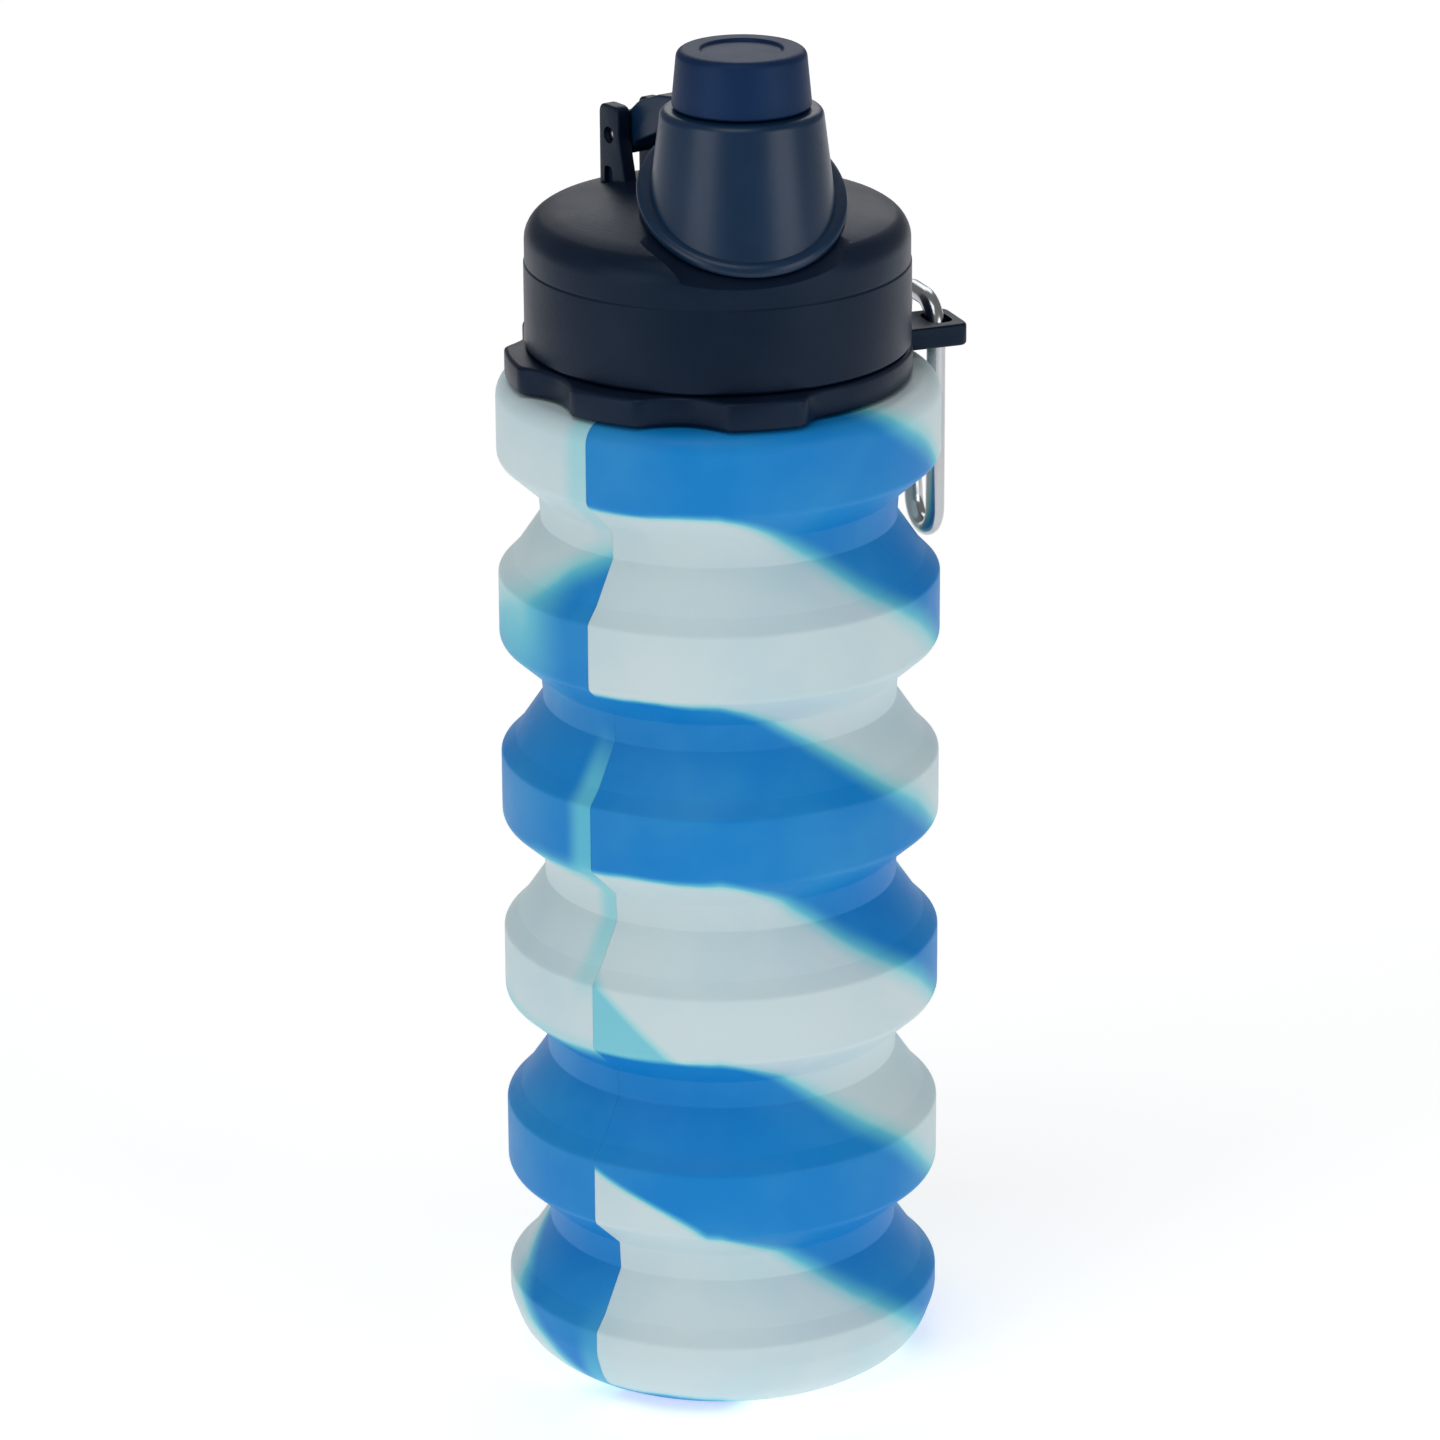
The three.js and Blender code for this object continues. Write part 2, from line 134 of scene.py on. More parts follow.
class StageSettings(bpy.types.PropertyGroup):
    floor: colour("Floor", "Floor and background", (0.9, 0.9, 0.9))
    lens: bpy.props.FloatProperty(name="Lens", description="Focal length in mm", default=156.86)
    distance: length("Distance", "Camera to the middle of the bottle", 1.00322)
    elevation: bpy.props.FloatProperty(
        name="Elevation",
        description="Camera height angle",
        default=math.radians(19.909),
        subtype="ANGLE",
    )


# ---------------------------------------------------------------- modelling by hand


def clean_start():
    if bpy.context.object and bpy.context.object.mode != "OBJECT":
        bpy.ops.object.mode_set(mode="OBJECT")
    bpy.ops.object.select_all(action="DESELECT")


def edit(piece=None):
    if piece is not None:
        clean_start()
        piece.select_set(True)
        bpy.context.view_layer.objects.active = piece
    bpy.ops.object.mode_set(mode="EDIT")


def pick(test, kind="VERT"):
    """In edit mode, selects what lies wholly in the places that pass the test."""
    bpy.ops.mesh.select_mode(type=kind)
    mesh = bmesh.from_edit_mesh(bpy.context.object.data)
    chosen = {v for v in mesh.verts if test(v.co)}
    for face in mesh.faces:
        face.select_set(False)
    for edge in mesh.edges:
        edge.select_set(False)
    for vert in mesh.verts:
        vert.select_set(False)
    if kind == "VERT":
        for vert in chosen:
            vert.select_set(True)
    elif kind == "EDGE":
        for edge in mesh.edges:
            edge.select_set(all(v in chosen for v in edge.verts))
    else:
        for face in mesh.faces:
            face.select_set(all(v in chosen for v in face.verts))
    mesh.select_flush_mode()
    bmesh.update_edit_mesh(bpy.context.object.data)


def in_order():
    """Puts the mesh's points, edges and faces in the order of their places, the same in every run."""
    mesh = bmesh.from_edit_mesh(bpy.context.object.data)

    def rank(verts):
        return sum(v.co.z * 7 + v.co.x * 1.37 + v.co.y * 0.61 for v in verts) / len(verts)

    mesh.verts.sort(key=lambda vert: rank([vert]))
    mesh.edges.sort(key=lambda edge: rank(edge.verts))
    mesh.faces.sort(key=lambda face: rank(face.verts))
    bmesh.update_edit_mesh(bpy.context.object.data)


def finished(name, smooth=35):
    """Leaves edit mode with the object placed at the origin, named and shaded smooth."""
    bpy.ops.mesh.select_all(action="SELECT")
    bpy.ops.mesh.remove_doubles(threshold=1e-6)
    in_order()
    bpy.ops.mesh.normals_make_consistent(inside=False)
    bpy.ops.object.mode_set(mode="OBJECT")
    piece = bpy.context.object
    piece.name = name
    piece.data.name = name
    bpy.ops.object.transform_apply(location=True, rotation=True, scale=True)
    bpy.ops.object.shade_smooth_by_angle(angle=math.radians(smooth))
    return piece


def wire(corners, closed=False, axis=(0, 0)):
    """Draws a section in the XZ plane, corner by corner, and rounds the corners that have a radius.

    A corner is (radius, height) or (radius, height, rounding)."""
    clean_start()
    bpy.ops.mesh.primitive_plane_add(size=MM)
    edit()
    bpy.ops.mesh.select_mode(type="VERT")
    bpy.ops.mesh.select_all(action="SELECT")
    bpy.ops.mesh.merge(type="CENTER")
    start = corners[0]
    bpy.ops.transform.translate(value=(start[0] + axis[0], axis[1], start[1]))
    for a, b in zip(corners, corners[1:]):
        step = (b[0] - a[0], 0, b[1] - a[1])
        bpy.ops.mesh.extrude_vertices_move(TRANSFORM_OT_translate={"value": step})
    count = len(corners)
    if closed:
        ends = [Vector((c[0] + axis[0], axis[1], c[1])) for c in (corners[0], corners[-1])]
        pick(lambda co: min((co - e).length for e in ends) < 1e-6)
        bpy.ops.mesh.edge_face_add()
    for i, corner in enumerate(corners):
        if len(corner) < 3 or not corner[2]:
            continue
        before, after = corners[i - 1], corners[(i + 1) % count]
        way_in = Vector((corner[0] - before[0], corner[1] - before[1]))
        way_out = Vector((after[0] - corner[0], after[1] - corner[1]))
        turn = way_in.angle(way_out)
        place = Vector((corner[0] + axis[0], axis[1], corner[1]))
        pick(lambda co: (co - place).length < 1e-6)
        bpy.ops.mesh.bevel(
            affect="VERTICES",
            offset=corner[2] * math.tan(turn / 2),
            segments=max(2, round(turn / math.radians(10))),
            clamp_overlap=False,
        )


def turned(name, corners, around, closed=False, axis=(0, 0), smooth=35):
    """A section spun about an upright axis."""
    wire(corners, closed, axis)
    in_order()
    bpy.ops.mesh.select_all(action="SELECT")
    bpy.ops.mesh.spin(steps=around, angle=FULL_TURN, center=(*axis, 0), axis=(0, 0, 1))
    return finished(name, smooth)


def slab(name, outline, thick, bevel=0.0, place=Matrix.Identity(4)):
    """A flat outline of (x, y) corners with thickness thick along Z, its edges rounded, set in place."""
    clean_start()
    bpy.ops.mesh.primitive_circle_add(vertices=len(outline), radius=0.01, fill_type="NGON")
    edit()
    mesh = bmesh.from_edit_mesh(bpy.context.object.data)
    mesh.verts.ensure_lookup_table()
    for vert, (x, y) in zip(mesh.verts, outline):
        vert.co = (x, y, 0)
    bmesh.update_edit_mesh(bpy.context.object.data)
    bpy.ops.mesh.extrude_region_move(TRANSFORM_OT_translate={"value": (0, 0, thick)})
    if bevel:
        pick(lambda co: True, "EDGE")
        mesh = bmesh.from_edit_mesh(bpy.context.object.data)
        for edge in mesh.edges:
            level = abs(edge.verts[0].co.z - edge.verts[1].co.z) < 1e-7
            edge.select_set(level)
        bmesh.update_edit_mesh(bpy.context.object.data)
        bpy.ops.mesh.bevel(affect="EDGES", offset=bevel, segments=3)
    piece = finished(name)
    piece.data.transform(place)
    return piece


def cut(piece, tool, how="DIFFERENCE"):
    """Cuts the tool from the piece, or joins it on, and takes the tool away."""
    clean_start()
    piece.select_set(True)
    bpy.context.view_layer.objects.active = piece
    step = piece.modifiers.new("cut", "BOOLEAN")
    step.operation = how
    step.object = tool
    step.solver = "EXACT"
    bpy.ops.object.modifier_apply(modifier=step.name)
    bpy.data.objects.remove(tool, do_unlink=True)
    edit(piece)
    return finished(piece.name)


def rod_along(name, points, radius):
    """A round rod along a line of points."""
    clean_start()
    curve = bpy.data.curves.new(name, "CURVE")
    curve.dimensions = "3D"
    spline = curve.splines.new("POLY")
    spline.points.add(len(points) - 1)
    for point, place in zip(spline.points, points):
        point.co = (*place, 1)
    curve.bevel_depth = radius
    curve.bevel_resolution = 6
    curve.use_fill_caps = True
    rod = bpy.data.objects.new(name, curve)
    bpy.context.collection.objects.link(rod)
    rod.select_set(True)
    bpy.context.view_layer.objects.active = rod
    bpy.ops.object.convert(target="MESH")
    edit()
    return finished(name)


def circle(radius, steps=96, centre=(0, 0)):
    turns = [FULL_TURN * i / steps for i in range(steps)]
    return [(centre[0] + radius * math.cos(a), centre[1] + radius * math.sin(a)) for a in turns]


def rounded(corners, steps=6):
    """An outline of (x, y, rounding) corners with each corner rounded."""
    outline = []
    for i, corner in enumerate(corners):
        here = Vector(corner[:2])
        before, after = Vector(corners[i - 1][:2]), Vector(corners[(i + 1) % len(corners)][:2])
        size = corner[2] if len(corner) > 2 else 0
        if not size:
            outline.append(tuple(here))
            continue
        way_in, way_out = (here - before).normalized(), (after - here).normalized()
        reach = size * math.tan(way_in.angle(way_out) / 2)
        start, end = here - way_in * reach, here + way_out * reach
        for k in range(steps + 1):
            share = k / steps
            one, two = start.lerp(here, share), here.lerp(end, share)
            outline.append(tuple(one.lerp(two, share)))
    return outline


def upright(direction, origin):
    """Places a drawing of (across, up) on the upright plane through origin along direction."""
    across = Vector(direction).normalized()
    out = across.cross(Vector((0, 0, 1)))
    turn = Matrix((across, Vector((0, 0, 1)), out)).transposed()
    return Matrix.Translation(origin) @ turn.to_4x4()


def leaning(lift):
    """Tilts a level drawing onto the cap's seat, lift above it."""
    lean = Matrix.Identity(4)
    lean[2][0], lean[2][1] = SEAT_SLOPE
    centre = Vector((CAP_X, CAP_Y, SEAT_Z + lift))
    return Matrix.Translation(centre) @ lean


def along(direction, origin):
    """Places a piece turned about Z so that its axis lies along direction."""
    turn = Vector(direction).to_track_quat("Z", "Y").to_matrix().to_4x4()
    return Matrix.Translation(origin) @ turn


def placed(piece, place):
    piece.data.transform(place)
    piece.data.update()
    return piece


def hand_over(piece, body, replaced):
    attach(piece, body)
    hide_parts(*replaced)
    return piece


# ---------------------------------------------------------------- shader maths


class Value:
    """A number in a shader, with the usual operators."""

    def __init__(self, finish, socket):
        self.finish = finish
        self.socket = socket

    def maths(self, operation, *others):
        inputs = dict(enumerate([self, *others]))
        return self.finish.node("ShaderNodeMath", {"operation": operation}, inputs)[0]

    def __add__(self, other):
        return self.maths("ADD", other)

    __radd__ = __add__

    def __sub__(self, other):
        return self.maths("SUBTRACT", other)

    def __rsub__(self, other):
        return (self * -1) + other

    def __mul__(self, other):
        return self.maths("MULTIPLY", other)

    __rmul__ = __mul__

    def __truediv__(self, other):
        return self.maths("DIVIDE", other)

    def least(self, other):
        return self.maths("MINIMUM", other)

    def most(self, other):
        return self.maths("MAXIMUM", other)

    def power(self, other):
        return self.maths("POWER", other)

    def sine(self):
        return self.maths("SINE")

    def size(self):
        return self.maths("ABSOLUTE")

    def step(self, start, end):
        """0 before start and 1 after end, smoothly."""
        settings = {"interpolation_type": "SMOOTHSTEP"}
        return self.finish.node("ShaderNodeMapRange", settings, {0: self, 1: start, 2: end})[0]


class Finish:
    """A material under construction."""

    def __init__(self, name):
        self.material = bpy.data.materials.new(name)
        self.material.use_nodes = True
        self.tree = self.material.node_tree
        self.shader = self.tree.nodes["Principled BSDF"]

    def node(self, kind, settings=None, inputs=None):
        """Adds a node: settings first, then values or links of its sockets. Returns its outputs."""
        made = self.tree.nodes.new(kind)
        for key, value in (settings or {}).items():
            if key == "stops":
                self.set_stops(made.color_ramp, value)
            else:
                setattr(made, key, value)
        for key, value in (inputs or {}).items():
            self.feed(made.inputs[key], value)
        return [Value(self, socket) for socket in made.outputs]

    def set_stops(self, ramp, stops):
        while len(ramp.elements) < len(stops):
            ramp.elements.new(1)
        for element, (place, shade) in zip(ramp.elements, stops):
            element.position = place
            element.color = (*shade, 1)

    def feed(self, socket, value):
        if isinstance(value, Value):
            self.tree.links.new(value.socket, socket)
        elif socket.type == "RGBA" and len(value) == 3:
            socket.default_value = (*value, 1)
        else:
            socket.default_value = value

    def mix(self, share, a, b):
        """A colour between a and b."""
        made = self.tree.nodes.new("ShaderNodeMix")
        made.data_type = "RGBA"
        self.feed(made.inputs["Factor"], share)
        self.feed(made.inputs[6], a)
        self.feed(made.inputs[7], b)
        return Value(self, made.outputs[2])

    def place(self):
        return self.node("ShaderNodeTexCoord")[3]

    def noise(self, where, scale, detail=2.0, rough=0.5):
        inputs = {"Vector": where, "Scale": scale, "Detail": detail, "Roughness": rough}
        return self.node("ShaderNodeTexNoise", {}, inputs)[0]

    def bump(self, height, depth):
        return self.node("ShaderNodeBump", {}, {"Strength": 1.0, "Distance": depth, "Height": height})[0]

    def surface(self, **sockets):
        for key, value in sockets.items():
            self.feed(self.shader.inputs[key.replace("_", " ")], value)
        return self.material


def dress(piece, material):
    piece.data.materials.clear()
    piece.data.materials.append(material)


def assign_to_slots(node, surface):
    """A carried-over node keeps its mesh as it is and shows the surface through its object's slots."""
    for slot in node.material_slots:
        slot.link = "OBJECT"
        slot.material = surface


def remember_place(piece):
    """Keeps each point's place at rest, so that the swirl stays on the silicone when it folds."""
    kept = piece.data.attributes.new("rest_place", "FLOAT_VECTOR", "POINT")
    for i, vert in enumerate(piece.data.vertices):
        kept.data[i].vector = vert.co


SEAM = math.radians(-35.5)  # where the two halves of the mould meet, from the front
RIGHT_EDGES = 151.7 * MM  # a change of colour on the right half, level at the seam
RIGHT_STRIPE = 29.9 * MM
# Changes of colour on the left half: height at the seam in mm, and rise in mm per radian to the left
LEFT_EDGES = ((143, -15), (91, 0), (62, 0), (-2, 22), (-36, 9), (-70, 9))


def silicone_material(s):
    f = Finish("two_colour_silicone")
    place = f.node("ShaderNodeAttribute", {"attribute_name": "rest_place"})[1]
    x, y, z = f.node("ShaderNodeSeparateXYZ", {}, {0: place})
    angle = f.node("ShaderNodeMath", {"operation": "ARCTAN2"}, {0: x, 1: y * -1})[0]
    past_seam = angle - SEAM
    past_seam = past_seam + (past_seam.step(-1e-4, 0) * -1 + 1) * FULL_TURN
    on_left = past_seam.step(math.pi - 1e-3, math.pi + 1e-3)

    drift = f.noise(place, 28, 1) - 0.5
    wobble = f.noise(place, 90, 2) - 0.5

    # Right half: even stripes that run level from the seam and then fall away to the right
    fall = ((past_seam + math.radians(-35)).most(0) / math.radians(75)).power(1.2) * (28 * MM)
    wedge = (1 - past_seam / 0.55).most(0) * z.step(22 * MM, 30 * MM) * (1 - z.step(44 * MM, 50 * MM))
    flow = fall + drift * (5 * MM) + wobble * (1.5 * MM) - wedge * (9 * MM)
    up = (z + flow - RIGHT_EDGES) / RIGHT_STRIPE
    soft = past_seam.step(0.2, 1.9) * 0.42 + 0.10
    wave = (up * math.pi).sine() * -1
    right = wave.step(soft * -1, soft)
    tongue = ((1 - past_seam / 0.5) * (15 * MM) + 61 * MM - z).step(0, 3 * MM) * z.step(58 * MM, 62 * MM)
    right = right - right * tongue * 0.5

    # Left half: broader stripes, each with its own height and slant
    leftwards = FULL_TURN - past_seam
    clouded = z + drift * (9 * MM) + wobble * (2 * MM)
    left = 1
    for i, (edge, rise) in enumerate(LEFT_EDGES):
        change = (clouded - leftwards * (rise * MM)).step((edge - 4) * MM, (edge + 4) * MM)
        left = left - (1 - change) if i % 2 == 0 else left + (1 - change)
    veil = z.step(112 * MM, 134 * MM) * (1 - z.step(138 * MM, 146 * MM)) * leftwards.step(0.1, 0.5)
    left = left + veil * (0.55 - left * 0.55)
    near_seam = (FULL_TURN - past_seam).step(math.radians(9), math.radians(3))
    teal_patch = near_seam * f.noise(place, 22, 0).step(0.42, 0.6)

    white = right + (left - right) * on_left
    white = white + (0.5 - white) * teal_patch * 0.75 * on_left
    stops = [(0.0, s.blue), (0.42, s.mingled), (0.62, [0.33, 0.68, 0.73]), (1.0, s.white)]
    colour_here = f.node("ShaderNodeValToRGB", {"stops": stops}, {0: white})[0]
    cloud = f.noise(place, 55, 3)
    shade = f.mix(cloud.step(0.35, 0.8) * 0.16, colour_here, s.mingled)

    to_seam = (past_seam - math.pi).size().least((FULL_TURN - past_seam).least(past_seam))
    seam_line = 1 - to_seam.step(0.0, 0.006)
    grain = f.noise(place, 2600, 2)
    height = grain * 0.35 + seam_line * 1.0
    return f.surface(
        Base_Color=shade,
        Roughness=f.noise(place, 240, 3) * 0.12 + 0.40,
        Normal=f.bump(height, 0.00006),
        Specular_IOR_Level=0.2,
    )


def plastic_material(name, colour_of, rough, fine=0.00002, grain=3200, gloss=0.25):
    """Moulded plastic: slight clouding of its colour, fine grain and rubbed patches."""
    f = Finish(name)
    place = f.place()
    cloud = f.noise(place, 60, 3)
    rubbed = f.noise(place, 130, 4, 0.6)
    lighter = [min(1, c * 1.5 + 0.004) for c in colour_of]
    return f.surface(
        Base_Color=f.mix(cloud.step(0.3, 0.8) * 0.6, colour_of, lighter),
        Roughness=rough + (rubbed - 0.5) * 0.14,
        Normal=f.bump(f.noise(place, grain, 2), fine),
        Specular_IOR_Level=gloss,
        Specular_Tint=[0.5, 0.74, 1.0],
    )


def metal_material(name, colour_of, rough, line_scale=900):
    """Polished or drawn metal with faint lines and slightly dulled patches."""
    f = Finish(name)
    place = f.place()
    stretched = f.node("ShaderNodeMapping", {}, {"Vector": place, "Scale": (1, 1, 0.08)})[0]
    lines = f.noise(stretched, line_scale, 2)
    dull = f.noise(place, 160, 3)
    darker = [c * 0.8 for c in colour_of]
    return f.surface(
        Base_Color=f.mix(dull.step(0.4, 0.8) * 0.5, colour_of, darker),
        Metallic=1.0,
        Roughness=rough + dull * 0.1,
        Normal=f.bump(lines, 0.000006),
    )


MATERIALS = {}


def material(name, make, *values, **settings):
    if name not in MATERIALS:
        MATERIALS[name] = make(*values, **settings)
    return MATERIALS[name]


def lid_plastic():
    colours = bpy.context.scene.bottle_lid
    finish = {"fine": 0.00003, "gloss": 0.2}
    return material("lid", plastic_material, "matt_lid_plastic", colours.plastic, 0.40, **finish)


def seal_silicone():
    colours = bpy.context.scene.bottle_lid
    return material("seal", plastic_material, "seal_silicone", colours.seal, 0.5)


def drawn_steel():
    return material("steel", metal_material, "drawn_steel", (0.55, 0.56, 0.58), 0.3)


# ---------------------------------------------------------------- silicone body


def fold_z(k):
    """Height of a fold at its narrowest, k = 1 the lowest."""
    return FIRST_FOLD_Z + (k - 1) * PITCH


def body_outline(s):
    """Corners of the outside wall from the base up to the top ring: radius, height, rounding."""
    neck = s.neck_radius
    corners = [(31.8 * MM, 0, 8.8 * MM), (RING_R, 9.1 * MM, 4 * MM)]
    for k in range(FOLDS + 1):
        z = fold_z(k)
        if k:
            corners += [(neck + 0.3 * MM, z + 1.3 * MM, 0.8 * MM), (RING_R, z + 7.1 * MM, 1.6 * MM)]
        if k < FOLDS:
            corners += [
                (RING_R, z + 17.8 * MM, 0.9 * MM),
                (32.66 * MM, z + 20.2 * MM, 1.2 * MM),
                (neck, z + PITCH - 3.3 * MM, 0.5 * MM),
            ]
    return corners + [(RING_R, ROOF_Z, 3.2 * MM)]


def moved_in(corners, wall):
    """The outline moved inwards by the wall's thickness, with mitred corners."""
    lines = []
    for a, b in zip(corners, corners[1:]):
        along = Vector((b[0] - a[0], b[1] - a[1])).normalized()
        inwards = Vector((-along.y, along.x))
        lines.append((Vector(a[:2]) + inwards * wall, along))
    inner = [lines[0][0]]
    for (p, u), (q, v) in zip(lines, lines[1:]):
        across = u.x * v.y - u.y * v.x
        if abs(across) < 1e-6:
            inner.append(q)
        else:
            gap = q - p
            inner.append(p + u * ((gap.x * v.y - gap.y * v.x) / across))
    return [(c.x, c.y) for c in inner]


def between(corners, bottom, top):
    """The stretch of an outline between two heights, corner roundings kept."""

    def crossing(z):
        for a, b in zip(corners, corners[1:]):
            if a[1] <= z <= b[1] and b[1] > a[1]:
                return (a[0] + (b[0] - a[0]) * (z - a[1]) / (b[1] - a[1]), z)
        raise ValueError("the outline does not reach that height")

    return [crossing(bottom), *[c for c in corners if bottom < c[1] < top], crossing(top)]


def silicone_piece(name, section, closed=True):
    s = bpy.context.scene.bottle_body
    piece = turned(name, section, s.around, closed=closed, smooth=28)
    remember_place(piece)
    dress(piece, material("silicone", silicone_material, s))
    return piece


def wall_between(outer, inner, bottom, top):
    return between(outer, bottom, top) + between(inner, bottom, top)[::-1]


class BottleBody(bpy.types.Operator):
    """Models the silicone body: base cup, stiff bands, soft folds and top ring"""

    bl_idname = "bottle.body"
    bl_label = "Silicone Body"

    def execute(self, context):
        s = context.scene.bottle_body
        outer = body_outline(s)
        inner = moved_in(outer, s.wall)
        self.base_cup(outer, inner)
        for k in range(1, FOLDS + 1):
            self.fold(outer, inner, k)
            if k < FOLDS:
                self.band(outer, inner, k)
        self.top_ring(outer, inner, s)
        return {"FINISHED"}

    def base_cup(self, outer, inner):
        floor = 2.4 * MM
        top = fold_z(0) + CUT_HIGH
        outside = [c for c in outer if c[1] < top] + [between(outer, 1 * MM, top)[-1]]
        inside = between(inner, floor, top)[::-1]
        inside[-1] = (*inside[-1], 5 * MM)
        section = [(0, 0), (24 * MM, 0.0), *outside, *inside, (0, floor)]
        piece = silicone_piece("base_cup_silicone", section, closed=False)
        hand_over(piece, "base", ["base_cup"])

    def fold(self, outer, inner, k):
        ring = FOLDS + 1 - k
        bottom, top = fold_z(k - 1) + CUT_HIGH, fold_z(k) + CUT_LOW
        section = wall_between(outer, inner, bottom, top)
        piece = silicone_piece(f"fold_{ring}_silicone", section)
        body = self.body_under(k)
        hand_over(piece, body, [f"fold_{ring}"])
        keep = 1 - TRAVEL / (top - bottom)
        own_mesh(piece)

    def body_under(self, k):
        return "base" if k == 1 else f"ring_{FOLDS + 2 - k}"

    def band(self, outer, inner, k):
        ring = FOLDS + 1 - k
        section = wall_between(outer, inner, fold_z(k) + CUT_LOW, fold_z(k) + CUT_HIGH)
        piece = silicone_piece(f"band_{ring}_silicone", section)
        hand_over(piece, f"ring_{ring}", [f"band_{ring}"])

    def top_ring(self, outer, inner, s):
        bottom = fold_z(FOLDS) + CUT_LOW
        shoulder = ROOF_Z - 2.6 * MM
        mouth = 26.7 * MM
        section = [
            *between(outer, bottom, bottom + 4 * MM)[:-1],
            (RING_R, ROOF_Z, 3.2 * MM),
            (mouth, ROOF_Z, 0.4 * MM),
            (mouth, shoulder, 0.4 * MM),
            (RING_R - s.wall, shoulder, 1.5 * MM),
            *[c for c in inner if bottom < c[1] < shoulder - 3 * MM][::-1],
            between(inner, bottom, bottom + 1 * MM)[0],
        ]
        piece = silicone_piece("top_ring_silicone", section)
        hand_over(piece, "neck", ["top_ring"])


# ---------------------------------------------------------------- neck and collar


class BottleNeck(bpy.types.Operator):
    """Models the threaded neck, and the scalloped collar with its carrying tab"""

    bl_idname = "bottle.neck"
    bl_label = "Neck and Collar"

    def execute(self, context):
        self.neck()
        self.thread()
        self.collar()
        return {"FINISHED"}

    def neck(self):
        bottom, top = low("neck_ring").z, high("neck_ring").z
        flange, step = high("neck_ring").x, bottom + 1.2 * MM
        outer, bore = 26.4 * MM, 23.2 * MM
        section = [
            (bore, bottom, 0.4 * MM),
            (flange, bottom, 0.4 * MM),
            (flange, step, 0.3 * MM),
            (outer, step, 0.5 * MM),
            (outer, top, 0.8 * MM),
            (bore, top, 1.0 * MM),
        ]
        piece = turned("neck_tube", section, 144, closed=True)
        dress(piece, lid_plastic())
        hand_over(piece, "neck", ["neck_ring"])

    def thread(self):
        pitch, turns = 4 * MM, 1.25
        start = 173.4 * MM
        ridge = [(26.2, 0), (26.2, 1.9), (27.1, 1.25), (27.1, 0.65)]
        wire([(r * MM, start + z * MM) for r, z in ridge], closed=True)
        bpy.ops.object.mode_set(mode="OBJECT")
        thread = bpy.context.object
        screw = thread.modifiers.new("screw", "SCREW")
        screw.angle = FULL_TURN * turns
        screw.screw_offset = pitch * turns
        screw.steps = screw.render_steps = 120
        screw.use_normal_calculate = True
        bpy.ops.object.modifier_apply(modifier=screw.name)
        edit()
        bpy.ops.mesh.select_all(action="SELECT")
        bpy.ops.mesh.fill_holes(sides=8)
        piece = finished("neck_thread")
        dress(piece, lid_plastic())
        hand_over(piece, "neck", [])

    def collar(self):
        clean_start()
        bpy.ops.mesh.primitive_circle_add(vertices=240, radius=26.7 * MM, location=(0, 0, COLLAR_LOW))
        edit()
        bpy.ops.mesh.extrude_edges_move(TRANSFORM_OT_translate={"value": (0, 0, 0)})
        bpy.ops.transform.resize(value=(1.25, 1.25, 1))
        self.scallop()
        bpy.ops.mesh.select_all(action="SELECT")
        rise = (0, 0, COLLAR_HIGH - COLLAR_LOW)
        bpy.ops.mesh.extrude_region_move(TRANSFORM_OT_translate={"value": rise})
        self.round_rims()
        collar = finished("collar_plastic")
        cut(collar, self.tab(), "UNION")
        cut(collar, self.slot())
        dress(collar, lid_plastic())
        hand_over(collar, "neck", ["collar"])

    def scallop(self):
        """Moves the selected outer edge in and out in lobes, spaced eight to a turn."""
        lobes, outer, notch = 8, 33.5 * MM, 3 * MM
        plain = 83  # degrees to either side of the tab that have no lobes
        first = math.radians(-99.5)
        mesh = bmesh.from_edit_mesh(bpy.context.object.data)
        for vert in [v for v in mesh.verts if v.select]:
            place = vert.co.xy.copy()
            angle = math.atan2(place.y, place.x)
            dip = max(0, (math.cos(lobes * (angle - first)) + 0.1) / 1.1) ** 0.8
            from_tab = abs((angle - TAB_ANGLE + math.pi) % FULL_TURN - math.pi)
            lobed = min(1, max(0, (math.degrees(from_tab) - plain + 4) / 8))
            vert.co.xy = place.normalized() * (outer - notch * (1 - lobed * (1 - dip)))
        bmesh.update_edit_mesh(bpy.context.object.data)

    def round_rims(self):
        pick(lambda co: co.xy.length > 28 * MM, "EDGE")
        mesh = bmesh.from_edit_mesh(bpy.context.object.data)
        for edge in mesh.edges:
            if abs(edge.verts[0].co.z - edge.verts[1].co.z) > 1e-5:
                edge.select_set(False)
        bmesh.update_edit_mesh(bpy.context.object.data)
        bpy.ops.mesh.bevel(affect="EDGES", offset=0.7 * MM, segments=3)

    def tab(self):
        tip, half, underside = 40.6 * MM, 5 * MM, 166.6 * MM
        root, corner = 29 * MM, 1.8 * MM
        outline = rounded([(root, -half), (tip, -half, corner), (tip, half, corner), (root, half)])
        turn = Matrix.Rotation(TAB_ANGLE, 4, "Z")
        place = turn @ Matrix.Translation((0, 0, underside))
        return slab("tab", outline, COLLAR_HIGH - underside, 0.5 * MM, place)

    def slot(self):
        half, side = 3.1 * MM, 2.05 * MM
        corners = [(-side, -half), (side, -half), (side, half), (-side, half)]
        outline = rounded([(SLOT_R + x, y, side * 0.96) for x, y in corners])
        turn = Matrix.Rotation(TAB_ANGLE, 4, "Z")
        return slab("slot", outline, 20 * MM, 0, turn @ Matrix.Translation((0, 0, 158 * MM)))


# ---------------------------------------------------------------- lid


